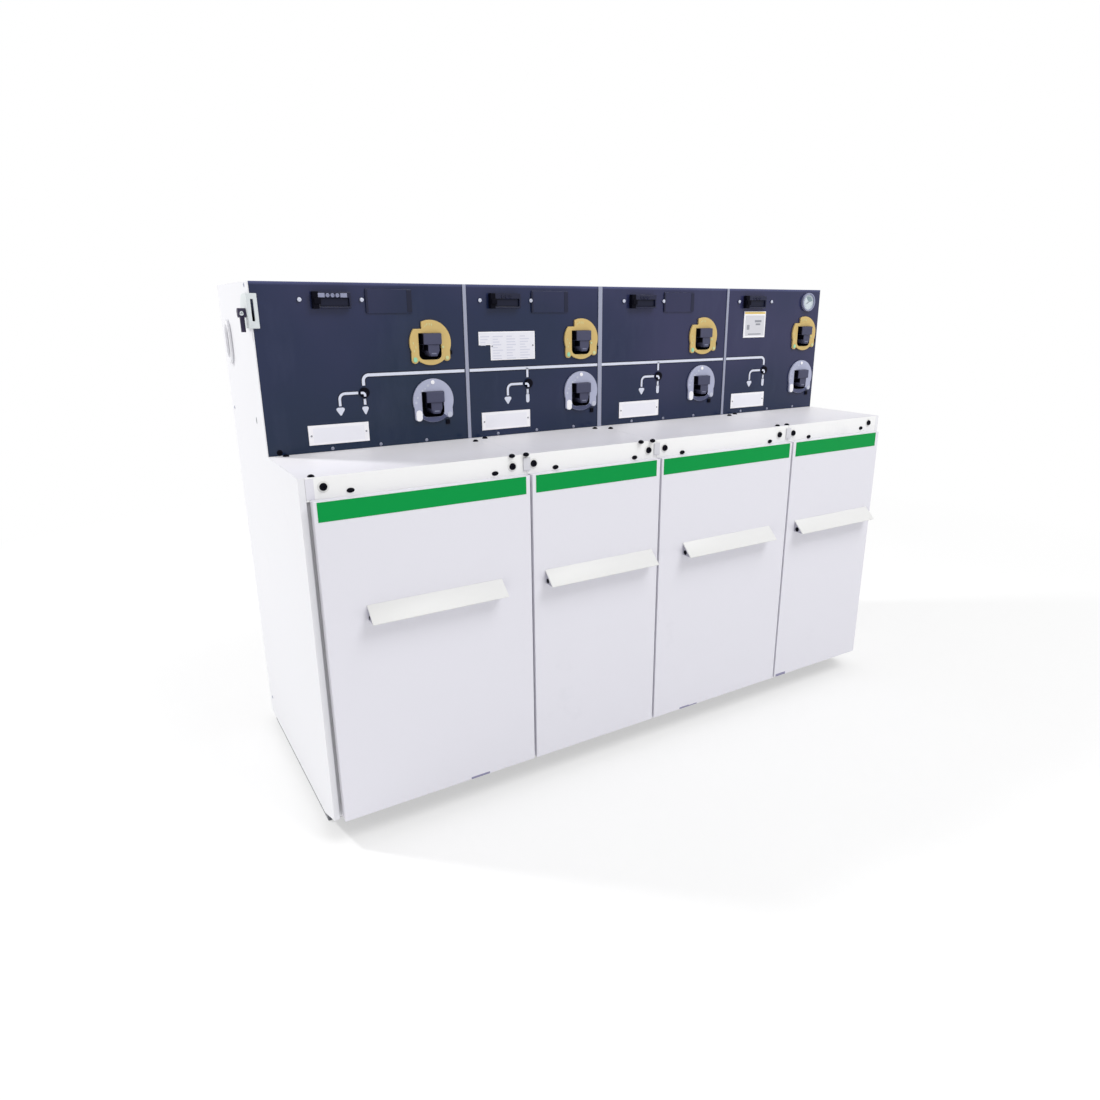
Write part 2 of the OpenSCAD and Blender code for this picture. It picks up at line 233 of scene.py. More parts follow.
def plainMetal(name, colour, roughness, stretch):
    # rolled or plated metal, with fine scratches along one direction
    finish, tree = newFinish(name)
    scratches = noise(tree, metalLook["scratchScale"], 5.0, stretched(tree, stretch), 0.7)
    colour = driftingColour(tree, scratches, paint(*colour), *metalLook["shades"])
    surface(tree, colour, roughness + (scratches - 0.5) * metalLook["roughSwing"],
            bumpOf(tree, scratches, metalLook["scratchBump"]), 1.0)
    return finish


paintLook = {"drift": 0.012, "driftScale": 1.6, "markColour": paint(196, 197, 205), "markScale": 5.0,
             "markFrom": 0.62, "markDepth": 1.2, "peelScale": 420.0, "peel": 0.10, "roughness": 0.42,
             "roughSwing": 0.10, "specular": 0.4}
cabinetWhite = sheetPaint("cabinetWhite", (234, 234, 238))
coverWhite = sheetPaint("coverWhite", (227, 226, 234))
# the strip's white, with painted shade in a band just behind its front edge and painted light towards the
# back
stripWhite = sheetPaint("stripWhite", (250, 250, 250), depthStops=(
    (0.0, paint(249, 249, 249)), (0.01, paint(235, 234, 241)), (0.3, paint(243, 242, 249)),
    (1.0, paint(254, 252, 255))))
gripWhite = sheetPaint("gripWhite", (228, 228, 227))
softWhite = sheetPaint("softWhite", (213, 213, 219))


def filmedSheet(name, stops, **changes):
    # dark satin film: two hues that drift along the unit at random, painted sheen that lightens it towards
    # the top and the right, faint wiping marks, and a painted highlight along the top edge
    look = {**filmLook, **changes}
    finish, tree = newFinish(name)
    axes = axesOf(tree)
    hueAndSheen = (noise(tree, look["patchScale"], 2.0) - 0.5) * look["patchDepth"] + 0.5
    # the lean along X and Z is painted sheen, lighter towards the top and the right
    hueAndSheen = hueAndSheen + axes["X"] * look["leanX"] + (axes["Z"] - look["middleZ"]) * look["leanZ"]
    ramp = [(at, paint(*colour)) for at, colour in zip(look["stopsAt"], stops)]
    patches = tree.node("ShaderNodeValToRGB", {"Fac": hueAndSheen}, stops=ramp)
    wiped = noise(tree, look["wipeScale"], 5.0, stretched(tree, look["wipeStretch"]), 0.65)
    wipe = (wiped - look["wipeFrom"]) * look["wipeDepth"]
    colour = blendColours(tree, wipe * wipe.above(0), patches, look["wipeColour"])
    # painted highlight: a paler band along the fascia's top edge
    start, end = look["rubbedBand"]
    rubbed = mapRange(tree, axes["Z"], fasciaTop - start, fasciaTop - end, 0.0, look["rubbed"])
    colour = blendColours(tree, rubbed * (wiped + 0.4), colour, look["rubbedColour"])
    surface(tree, colour, look["roughness"] + (wiped - 0.5) * look["roughSwing"],
            bumpOf(tree, noise(tree, look["peelScale"], 2.0), look["peel"]), specular=look["specular"])
    return finish


filmLook = {"patchScale": 2.6, "patchDepth": 0.8, "leanX": 0.12, "leanZ": 0.7, "middleZ": 0.97,
            "stopsAt": (0.34, 0.5, 0.68), "wipeScale": 7.0, "wipeFrom": 0.56, "wipeDepth": 0.8,
            "wipeStretch": (1.0, 1.0, 0.35), "wipeColour": paint(74, 80, 108), "rubbed": 0.6,
            "rubbedBand": (0.007, 0.001), "rubbedColour": paint(98, 104, 150), "peelScale": 600.0,
            "peel": 0.06, "roughness": 0.19, "roughSwing": 0.06, "specular": 0.31}
fasciaBlue = filmedSheet("fasciaBlue", ((19, 37, 63), (30, 40, 72), (48, 50, 84)))
plateBlue = filmedSheet("plateBlue", ((22, 36, 62), (31, 39, 69), (44, 46, 78)), wipeScale=12.0,
                        wipeColour=paint(58, 64, 90), rubbed=0.0)
deepNavy = filmedSheet("deepNavy", ((13, 20, 44), (19, 24, 50), (27, 30, 58)), wipeScale=15.0,
                       wipeColour=paint(44, 48, 72), rubbed=0.0)
endShadeGrey = sheetPaint("endShadeGrey", (164, 163, 176))
edgeShadeGrey = sheetPaint("edgeShadeGrey", (138, 136, 164))
seamGrey = sheetPaint("seamGrey", (156, 160, 180))
bandGreen = sheetPaint("bandGreen", (0, 149, 68), drift=0.06, markColour=paint(20, 168, 84),
                       roughness=0.45, specular=0.1)
basePaint = sheetPaint("basePaint", (118, 120, 126), drift=0.08, markColour=paint(110, 110, 112),
                       markFrom=0.5)
printWhite = sheetPaint("printWhite", (218, 222, 237))
dialWhite = sheetPaint("dialWhite", (208, 218, 224), drift=0.05, roughness=0.25)
labelWhite = sheetPaint("labelWhite", (250, 249, 253), roughness=0.3)
ringYellow = mouldedPlastic("ringYellow", (209, 181, 115), 0.15, 0.42)
ringGrey = mouldedPlastic("ringGrey", (177, 181, 205), 0.15, 0.42)
shutterGrey = mouldedPlastic("shutterGrey", (70, 72, 96), 0.25, 0.45, 0.3)
black = mouldedPlastic("blackPlastic", (9, 9, 20), 0.2, 0.5, 0.06)
pinGrey = mouldedPlastic("pinGrey", (54, 48, 72), 0.2, 0.45, 0.2)
chinSlate = mouldedPlastic("chinSlate", (82, 87, 116), 0.15, 0.5, 0.2)
clearSeam = mouldedPlastic("clearSeam", (196, 200, 216), 0.1, 0.3)
lampGrey = mouldedPlastic("lampGrey", (142, 146, 172), 0.1, 0.35)
windowNavy = mouldedPlastic("windowNavy", (22, 25, 46), 0.1, 0.4, 0.2)
highlightGrey = mouldedPlastic("highlightGrey", (122, 126, 150), 0.1, 0.4)
printMint = mouldedPlastic("printMint", (206, 212, 158), 0.05, 0.4)
tipGreen = mouldedPlastic("tipGreen", (150, 214, 178), 0.1, 0.4)
fieldWhite = sheetPaint("fieldWhite", (242, 242, 249), roughness=0.3)
rowGrey = sheetPaint("rowGrey", (212, 213, 226), roughness=0.3)
plateGrey = sheetPaint("plateGrey", (232, 232, 240), drift=0.03, driftScale=160.0, roughness=0.3)
dialShade = sheetPaint("dialShade", (134, 152, 158), drift=0.08, driftScale=60.0, roughness=0.3)
printGrey = mouldedPlastic("printGrey", (150, 152, 160), 0.05, 0.5)
headerAmber = mouldedPlastic("headerAmber", (235, 205, 120), 0.05, 0.4)
lugPlate = sheetPaint("lugPlate", (216, 222, 224), roughness=0.36)
tankSteel = plainMetal("tankSteel", (178, 180, 184), 0.38, (0.4, 8.0, 8.0))
zinc = plainMetal("zincPlate", (150, 152, 158), 0.42, (3.0, 3.0, 0.6))
print("finishes made")


class Shape:
    # closed solids gathered in one mesh, in the frame's metres
    def __init__(self):
        self.mesh = bmesh.new()

    def block(self, low, high):
        centre = (Vector(low) + Vector(high)) / 2
        size = Vector(high) - Vector(low)
        bmesh.ops.create_cube(self.mesh, size=1,
                              matrix=Matrix.Translation(centre) @ Matrix.Diagonal((*size, 1)))
        return self

    def prism(self, outline, front, back):
        # an outline in X and Z, standing from y = front to y = back
        self.skin([(x, front, z) for x, z in outline], [(x, back, z) for x, z in outline])
        return self

    def prismX(self, outline, left, right):
        # an outline in Y and Z, lying from x = left to x = right
        self.skin([(left, y, z) for y, z in outline], [(right, y, z) for y, z in outline])
        return self

    def skin(self, first, last):
        near = [self.mesh.verts.new(place) for place in first]
        far = [self.mesh.verts.new(place) for place in last]
        self.mesh.faces.new(near)
        self.mesh.faces.new(far[::-1])
        for i in range(len(near)):
            self.mesh.faces.new((near[i - 1], near[i], far[i], far[i - 1]))

    def turned(self, centre, profile, sides=40):
        # a profile of (radius, depth) steps, turned about the line through centre along -Y
        rings = []
        for radius, depth in profile:
            rings.append([self.mesh.verts.new((x, centre[1] - depth, z)) for x, z in circlePoints(
                (centre[0], centre[2]), radius, count=sides)])
        for lower, upper in zip(rings, rings[1:]):
            for i in range(sides):
                self.mesh.faces.new((lower[i - 1], lower[i], upper[i], upper[i - 1]))
        self.mesh.faces.new(rings[0])
        self.mesh.faces.new(rings[-1][::-1])
        return self


def circlePoints(centre, radius, first=0, sweep=360, count=24):
    steps = count if sweep == 360 else count - 1
    turns = [math.radians(first + sweep * i / steps) for i in range(count)]
    return [(centre[0] + radius * math.cos(turn), centre[1] + radius * math.sin(turn)) for turn in turns]


def capsule(centreX, low, high, width):
    half = width / 2
    return (circlePoints((centreX, high - half), half, 0, 180, 12)
            + circlePoints((centreX, low + half), half, 180, 180, 12))


def ribbonOutline(path, width):
    # the outline of a line of that width along the path
    left, right = [], []
    for i, here in enumerate(path):
        before = path[max(0, i - 1)]
        after = path[min(len(path) - 1, i + 1)]
        way = Vector((after[0] - before[0], after[1] - before[1])).normalized()
        side = Vector((-way.y, way.x)) * width / 2
        left.append((here[0] + side.x, here[1] + side.y))
        right.append((here[0] - side.x, here[1] - side.y))
    return left + right[::-1]


def coat(mesh, finish):
    mesh.materials.clear()
    mesh.materials.append(finish)


def addObject(name, mesh, finish):
    made = bpy.data.objects.new(name, mesh)
    bpy.context.scene.collection.objects.link(made)
    coat(mesh, finish)
    return made


def roundEdges(made, width, segments):
    # rounds the sharp edges, then keeps the flat faces flat
    bevel = made.modifiers.new("edges", "BEVEL")
    bevel.width = width
    bevel.segments = segments
    bevel.limit_method = "ANGLE"
    bevel.angle_limit = math.radians(30)
    bevel.harden_normals = True
    settle(made)
    keepFlat(made.data)


flatFace = {"area": 0.0004, "along": 0.99996}


def keepFlat(mesh):
    # corner normals of large faces that lie along an axis follow the face itself
    normals = [corner.vector.copy() for corner in mesh.corner_normals]
    for face in mesh.polygons:
        if face.area > flatFace["area"] and max(abs(part) for part in face.normal) > flatFace["along"]:
            for corner in face.loop_indices:
                normals[corner] = face.normal.copy()
    mesh.normals_split_custom_set(normals)


def settle(made):
    # turns the evaluated object into a plain mesh
    finish = made.data.materials[0]
    graph = bpy.context.evaluated_depsgraph_get()
    mesh = bpy.data.meshes.new_from_object(made.evaluated_get(graph))
    made.modifiers.clear()
    made.data = mesh
    coat(mesh, finish)


def smoothShade(mesh):
    mesh.shade_smooth()
    mesh.set_sharp_from_angle(angle=math.radians(35))


def giveTo(made, body=cabinet):
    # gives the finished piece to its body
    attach(made, body)


def piece(name, shape, finish, body=cabinet, edge=0.0, smooth=False, segments=2):
    mesh = bpy.data.meshes.new(name)
    bmesh.ops.recalc_face_normals(shape.mesh, faces=shape.mesh.faces)
    shape.mesh.to_mesh(mesh)
    shape.mesh.free()
    made = addObject(name, mesh, finish)
    if edge:
        mesh.shade_smooth()
        roundEdges(made, edge, segments)
    elif smooth:
        smoothShade(mesh)
    giveTo(made, body)
    return made


def dressNode(node, finish, edge, body=cabinet, segments=2):
    # a copy of a CAD node with its edges rounded, shown in its place
    shape = Shape()
    shape.mesh.from_mesh(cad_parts[node].data)
    bmesh.ops.remove_doubles(shape.mesh, verts=shape.mesh.verts, dist=0.00001)
    bmesh.ops.dissolve_limit(shape.mesh, angle_limit=math.radians(0.5), verts=shape.mesh.verts,
                             edges=shape.mesh.edges)
    made = piece(node + ".dressed", shape, finish, body, edge, segments=segments)
    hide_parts(node)


def growTree(name, *sizes, heads=False):
    # a Geometry Nodes tree that starts from points and has inputs for these sizes
    group = bpy.data.node_groups.new(name, "GeometryNodeTree")
    group.interface.new_socket("Geometry", in_out="OUTPUT", socket_type="NodeSocketGeometry")
    kinds = {"Points": "Geometry", **{size: "Float" for size in sizes}}
    if heads:
        kinds.update({"Facing": "Vector", "Turn": "Float"})
    for label, kind in {**kinds, "Finish": "Material"}.items():
        group.interface.new_socket(label, in_out="INPUT", socket_type="NodeSocket" + kind)
    tree = Tree(group)
    return tree, tree.node("NodeGroupInput")


def along(tree, x, y, z):
    return tree.node("ShaderNodeCombineXYZ", {"X": x, "Y": y, "Z": z})


def moved(tree, shape, place=(0, 0, 0), turn=(0, 0, 0), scale=(1, 1, 1)):
    return tree.node("GeometryNodeTransform", {"Geometry": shape, "Translation": place,
                                               "Rotation": turn, "Scale": scale})


def lifted(tree, shape, rise):
    return moved(tree, shape, along(tree, 0.0, 0.0, rise))


def cubeOf(tree, *size):
    return tree.node("GeometryNodeMeshCube", {"Size": along(tree, *size)})


def onPoints(tree, points, shape, **values):
    return tree.node("GeometryNodeInstanceOnPoints", {"Points": points, "Instance": shape, **values})


def closeTree(tree, given, shape):
    # real geometry in the given finish
    solid = tree.node("GeometryNodeRealizeInstances", {"Geometry": shape})
    solid = tree.node("GeometryNodeSetMaterial", {"Geometry": solid, "Material": given["Finish"]})
    tree.node("NodeGroupOutput", {"Geometry": solid})
    return tree.tree


def placeHeads(tree, given, shape, cutters):
    # one carved head on each point, turned a random amount about its own axis
    head = tree.node("GeometryNodeMeshBoolean", {"Mesh 1": shape, "Mesh 2": cutters},
                     operation="DIFFERENCE", solver="EXACT")
    turn = tree.node("FunctionNodeRandomValue", {3: given["Turn"], "Seed": 11}, data_type="FLOAT")
    spots = onPoints(tree, given["Points"], head, Rotation=given["Facing"])
    turned = tree.node("GeometryNodeRotateInstances", {
        "Instances": spots, "Rotation": along(tree, 0.0, 0.0, turn), "Local Space": True})
    return closeTree(tree, given, turned)


def makeScrewTree():
    # round head with a cross recess
    tree, given = growTree("screws", "Radius", "Rise", "Slot", heads=True)
    radius, rise = given["Radius"], given["Rise"]
    dome = tree.node("GeometryNodeMeshUVSphere", {"Segments": 20, "Rings": 10, "Radius": 1.0})
    dome = moved(tree, dome, scale=along(tree, radius, radius, rise))
    bar = lifted(tree, cubeOf(tree, radius * 1.2, given["Slot"], rise), rise)
    return placeHeads(tree, given, dome, [bar, moved(tree, bar, turn=(0, 0, math.pi / 2))])


def makePlugTree():
    # tapered button with a hexagonal socket
    tree, given = growTree("plugs", "Radius", "Rise", "Socket", heads=True)
    body = tree.node("GeometryNodeMeshCone", {
        "Vertices": 28, "Radius Top": given["Radius"] * 0.84, "Radius Bottom": given["Radius"],
        "Depth": given["Rise"]})
    socket = tree.node("GeometryNodeMeshCylinder", {
        "Vertices": 6, "Radius": given["Socket"], "Depth": given["Rise"]})
    return placeHeads(tree, given, body, [lifted(tree, socket, given["Rise"])])


def makePegTree():
    # oval clip with a rounded face and a slot along it
    tree, given = growTree("pegs", "Radius", "Height", "Rise", heads=True)
    radius, height, rise = given["Radius"], given["Height"], given["Rise"]
    dome = tree.node("GeometryNodeMeshUVSphere", {"Segments": 24, "Rings": 12, "Radius": 1.0})
    dome = moved(tree, dome, scale=along(tree, radius, height, rise))
    slot = cubeOf(tree, radius * 0.9, height * 0.22, rise * 0.5)
    return placeHeads(tree, given, dome, [lifted(tree, slot, rise)])


def growPiece(name, group, places, inputs, finish):
    mesh = bpy.data.meshes.new(name)
    mesh.from_pydata(places, [], [])
    made = addObject(name, mesh, finish)
    grow = made.modifiers.new("grow", "NODES")
    grow.node_group = group
    sockets = {item.name: item.identifier for item in group.interface.items_tree
               if item.item_type == "SOCKET" and item.in_out == "INPUT"}
    for label, value in {**inputs, "Finish": finish}.items():
        grow[sockets[label]] = value
    settle(made)
    smoothShade(made.data)
    giveTo(made)


screwTree, plugTree, pegTree = makeScrewTree(), makePlugTree(), makePegTree()
facing = {"front": (math.pi / 2, 0.0, 0.0), "rear": (-math.pi / 2, 0.0, 0.0),
          "left": (0.0, -math.pi / 2, 0.0), "right": (0.0, math.pi / 2, 0.0), "up": (0.0, 0.0, 0.0)}


def fasteners(name, group, places, look, side, finish):
    inputs = {"Turn": 0.0, **look, "Facing": facing[side]}
    growPiece(name, group, places, inputs, finish)


def gridPlaces(across, up, at):
    return [at(x, z) for x in across for z in up]


def spread(first, last, count):
    return [first + (last - first) * i / (count - 1) for i in range(count)]


# widths of the housing's rounded edges
rounding = {"panel": 0.0012, "fascia": 0.0007, "base": 0.002, "tank": 0.008, "posts": 0.0005,
            "seams": 0.0006, "brackets": 0.0008, "loops": 0.0015, "pins": 0.0038}
for node in ("left_side_panel", "right_side_panel", "rear_panel", "roof_panel"):
    dressNode(node, cabinetWhite, rounding["panel"])
for bay in bays:
    dressNode(f"cable_box_top_{bay}", stripWhite, rounding["panel"])
    dressNode(f"fascia_{bay}", fasciaBlue, rounding["fascia"])
dressNode("base_frame", basePaint, rounding["base"])
dressNode("tank_plinth", basePaint, rounding["base"])
dressNode("switchgear_tank", tankSteel, rounding["tank"])
dressNode("bay_partitions", cabinetWhite, rounding["posts"])
dressNode("fascia_seams", seamGrey, rounding["seams"])
dressNode("joint_brackets", softWhite, rounding["brackets"])
for side in ("left", "right"):
    dressNode(f"front_lug_{side}", lugPlate, rounding["panel"])
    dressNode(f"rear_loop_{side}", cabinetWhite, rounding["loops"])
dressNode("lug_pins", pinGrey, rounding["pins"], segments=3)
print("housing dressed")

# pale set screw in the front of each lug's knob, painted as the highlight on the knob's shiny end
knob = {"in": 0.0062, "up": 0.029, "leftBack": 0.0078, "rightBack": 0.0218,
        "screw": {"Radius": 0.0044, "Rise": 0.0014, "Slot": 0.0012}}
pinLow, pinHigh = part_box("lug_pins")
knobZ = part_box("front_lug_left")[0].z + knob["up"]
knobPlaces = [(pinLow.x + knob["in"], fasciaY + knob["leftBack"], knobZ),
              (pinHigh.x - knob["in"], fasciaY + knob["rightBack"], knobZ)]
fasteners("knobHighlightScrews", screwTree, knobPlaces, knob["screw"], "front", lugPlate)
print("lug knobs finished")

# the values by bay are the band's distances from the cover's ends, the radius of the black spots of painted
# shadow in the grip's ends, and the grey strips of painted shade along the cover's lower edge as (left,
# right, height)
cover = {"edge": 0.0009, "gripEdge": 0.0008, "bandHeight": 0.038, "bandDown": 0.0015,
         "bandInset": {1: (0.007, 0.0095), 2: (0.0085, 0.0105), 3: (0.005, 0.008), 4: (0.0095, 0.013)},
         "bandThickness": 0.0006, "sunk": 0.0003, "gripPlate": 0.0031, "endIn": 0.0012,
         "endThick": 0.001, "endDown": 0.0048, "endUp": 0.0015, "endGap": 0.0001,
         "holeRadius": {1: 0.0042, 2: 0.0056, 3: 0.0060, 4: 0.0060}, "holeOut": 0.34, "holeUp": 0.29,
         "holeThick": 0.0002, "slotUp": 0.0006,
         "slots": {1: [(0.288, 0.334, 0.005)], 3: [(0.087, 0.118, 0.0045), (0.118, 0.146, 0.0028)],
                   4: [(0.006, 0.044, 0.0075)]}}
for bay in bays:
    body = f"cover_{bay}"
    dressNode(f"cable_cover_{bay}", coverWhite, cover["edge"], body, 3)
    dressNode(f"cover_grip_{bay}", gripWhite, cover["gripEdge"], body)
    low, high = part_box(f"cable_cover_{bay}")
    left, right = cover["bandInset"][bay]
    bandTop = high.z - cover["bandDown"]
    band = Shape().block((low.x + left, coverY - cover["bandThickness"], bandTop - cover["bandHeight"]),
                         (high.x - right, coverY + cover["sunk"], bandTop))
    piece(f"greenBand{bay}", band, bandGreen, body, 0.0002)
for bay in bays:
    # closed ends inside the grip, in a grey that paints the shade inside the grip, each with a black spot
    # of painted shadow
    body = f"cover_{bay}"
    low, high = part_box(f"cover_grip_{bay}")
    top, bottom = high.z - cover["endDown"], low.z + cover["endUp"]
    reach = (top - bottom) * (coverY - low.y) / (high.z - low.z - cover["gripPlate"])
    behind = coverY - cover["endGap"]
    outline = [(behind, top), (coverY - reach, bottom), (behind, bottom)]
    middle = (coverY - reach * cover["holeOut"], bottom + (top - bottom) * cover["holeUp"])
    shadowSpot = circlePoints(middle, cover["holeRadius"][bay], count=16)
    ends, shadowSpots = Shape(), Shape()
    for x, out in ((low.x + cover["endIn"], -1), (high.x - cover["endIn"], 1)):
        ends.prismX(outline, x - cover["endThick"] / 2, x + cover["endThick"] / 2)
        spot = x + out * cover["endThick"] / 2
        shadowSpots.prismX(shadowSpot, spot - cover["holeThick"], spot + cover["holeThick"])
    piece(f"gripEnds{bay}", ends, endShadeGrey, body, edge=0.0002)
    piece(f"gripShadowSpots{bay}", shadowSpots, black, body)
    # painted shade: flat grey strips along the cover's lower edge
    if bay in cover["slots"]:
        low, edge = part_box(f"cable_cover_{bay}")[0], Shape()
        for left, right, height in cover["slots"][bay]:
            edge.block((low.x + left, coverY - cover["sunk"], low.z + cover["slotUp"]),
                       (low.x + right, coverY + cover["sunk"], low.z + cover["slotUp"] + height))
        piece(f"edgeShadeStrips{bay}", edge, edgeShadeGrey, body)
print("covers dressed")

# folded end of the strip at the left side panel
fold = {"from": 0.0125, "to": 0.028, "low": 0.7505, "down": 0.0022, "thickness": 0.0006, "sunk": 0.0004}
foldShape = Shape().block((bayEdge(0) + fold["from"], stripY - fold["thickness"], fold["low"]),
                          (bayEdge(0) + fold["to"], stripY + fold["sunk"], shelfZ - fold["down"]))
piece("stripFold", foldShape, coverWhite, edge=0.0002)

# places are (end of a bay, distance to its right, height above zero or depth behind the covers)
rail = {"zero": 0.700,
        "plugs": ((0, 0.045, 0.0725), (1, -0.034, 0.069), (1, 0.017, 0.0705), (2, -0.024, 0.070),
                  (2, 0.024, 0.071), (3, -0.033, 0.0705), (3, 0.018, 0.0705), (4, -0.044, 0.075)),
        "pegs": ((0, 0.095, 0.060), (1, -0.075, 0.0585), (1, 0.072, 0.0565), (2, -0.064, 0.0565),
                 (2, 0.079, 0.055), (3, -0.066, 0.0555), (3, 0.080, 0.0555), (4, -0.074, 0.062)),
        "screws": ((0, 0.0267, 0.029), (1, -0.0355, 0.018), (1, -0.0025, 0.0165),
                   (2, -0.049, 0.016), (2, -0.0155, 0.016), (3, -0.0325, 0.029),
                   (3, 0.0018, 0.029), (0, 0.0345, 0.264), (1, -0.021, 0.228),
                   (1, 0.0165, 0.256), (2, -0.0258, 0.2456), (2, 0.0087, 0.224),
                   (3, -0.0005, 0.247), (3, 0.037, 0.264)),
        "washer": {"Radius": 0.0115, "Rise": 0.0007, "Socket": 0.004},
        "plug": {"Radius": 0.0077, "Rise": 0.004, "Socket": 0.0028, "Turn": 1.0},
        "peg": {"Radius": 0.0078, "Height": 0.0048, "Rise": 0.003},
        "screw": {"Radius": 0.0066, "Rise": 0.0045, "Slot": 0.0014, "Turn": 3.0}}
plugPlaces, pegPlaces = ([(bayEdge(joint) + shift, stripY, rail["zero"] + up)
                          for joint, shift, up in rail[kind]] for kind in ("plugs", "pegs"))
shelfPlaces = [(bayEdge(joint) + shift, coverY + depth, shelfZ)
               for joint, shift, depth in rail["screws"]]
fasteners("railWashers", plugTree, plugPlaces, rail["washer"], "front", gripWhite)
fasteners("railPlugs", plugTree, plugPlaces, rail["plug"], "front", black)
fasteners("railPegs", pegTree, pegPlaces, rail["peg"], "front", black)
fasteners("shelfScrews", screwTree, shelfPlaces, rail["screw"], "up", black)
print("rail and shelf fasteners made")

# side rows are (depth behind the covers or before the rear, height)
panel = {"in": 0.03, "across": 9, "low": 0.06, "down": 0.035, "postLow": 0.25, "postDown": 0.24,
         "posts": 4, "roofIn": 0.04, "roofAcross": 6, "roofFront": 0.10,
         "sideFront": (0.309, 1.133), "sideRear": (0.86, 0.08), "vent": (0.349, 0.860),
         "screw": {"Radius": 0.0055, "Rise": 0.0028, "Slot": 0.0012, "Turn": 3.0},
         "roofScrew": {"Radius": 0.0055, "Rise": 0.0012, "Slot": 0.001, "Turn": 3.0},
         "sideScrew": {"Radius": 0.0045, "Rise": 0.001, "Slot": 0.0012, "Turn": 3.0},
         "ventPeg": {"Radius": 0.0075, "Height": 0.0026, "Rise": 0.001}}
ends = (sideX + panel["in"], endX - panel["in"])
rearPlaces = gridPlaces(spread(*ends, panel["across"]), (panel["low"], roofZ - panel["down"]),
                        lambda x, z: (x, rearY, z))
rearPlaces += gridPlaces(ends, spread(panel["postLow"], roofZ - panel["postDown"], panel["posts"]),
                         lambda x, z: (x, rearY, z))
fasteners("rearScrews", screwTree, rearPlaces, panel["screw"], "rear", zinc)
roofPlaces = gridPlaces(spread(sideX + panel["roofIn"], endX - panel["roofIn"], panel["roofAcross"]),
                        (fasciaY + panel["roofFront"], rearY - panel["in"]),
                        lambda x, y: (x, y, roofZ))
fasteners("roofScrews", screwTree, roofPlaces, panel["roofScrew"], "up", zinc)
for side, x in (("left", sideX), ("right", endX)):
    sidePlaces = [(x, coverY + panel["sideFront"][0], panel["sideFront"][1])]
    sidePlaces += [(x, rearY - panel["in"], z) for z in panel["sideRear"]]
    fasteners(f"{side}SideScrews", screwTree, sidePlaces, panel["sideScrew"], side, seamGrey)
    fasteners(f"{side}SideVent", pegTree, [(x, coverY + panel["vent"][0], panel["vent"][1])],
              panel["ventPeg"], side, zinc)
print("panel screws made")

rounding = {"rings": 0.0012, "indicator": 0.0012, "shutters": 0.0015, "plates": 0.0008,
            "position": 0.0006, "labels": 0.0003, "gauge": 0.0008}
for bay in bays:
    dressNode(f"earthing_ring_{bay}", ringYellow, rounding["rings"], segments=3)
    dressNode(f"line_switch_ring_{bay}", ringGrey, rounding["rings"], segments=3)
    dressNode(f"voltage_indicator_{bay}", deepNavy, rounding["indicator"])
coat(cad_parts["lever_sockets"].data, black)
dressNode("socket_shutters", shutterGrey, rounding["shutters"])
dressNode("function_plates", plateBlue, rounding["plates"])
dressNode("position_indicators", black, rounding["position"])
dressNode("label_plates", labelWhite, rounding["labels"])
dressNode("pressure_gauge", lampGrey, rounding["gauge"], segments=3)

# the fascia's screws, as shifts from the switches' centre line; the top ones are set by bay
screws = {"top": {1: (-0.276, -0.148), 2: (-0.2743, -0.1413), 3: (-0.2703, -0.1415),
                  4: (-0.2694, -0.1432)},
          "bottom": (-0.2365, -0.129, -0.0204), "topDown": 0.0345, "topOut": 0.003,
          "bottomUp": 0.0058, "cornerIn": 0.025, "cornerUp": 0.007,
          "radius": 0.0044, "smallRadius": 0.0036, "cornerRadius": 0.006,
          "head": {"Rise": 0.0026, "Slot": 0.001, "Turn": 3.0}}
topPlaces, bottomPlaces = [], []
for bay in bays:
    topPlaces += [(centreLine[bay] + shift, fasciaY - screws["topOut"],
                   fasciaTop - screws["topDown"]) for shift in screws["top"][bay]]
    bottomPlaces += [(centreLine[bay] + shift, fasciaY, shelfZ + screws["bottomUp"])
                     for shift in screws["bottom"]]
cornerPlaces = [(sideX + screws["cornerIn"], fasciaY, shelfZ + screws["cornerUp"])]
for name, places, radius, finish, slot in (
        ("fasciaTopScrews", topPlaces, screws["radius"], printWhite, "label_white"),
        ("fasciaBottomScrews", bottomPlaces, screws["smallRadius"], seamGrey, "label_white"),
        ("fasciaCornerScrew", cornerPlaces, screws["cornerRadius"], black, "plate_black")):
    fasteners(name, screwTree, places, {**screws["head"], "Radius": radius}, "front", finish)
print("fascia screws made")

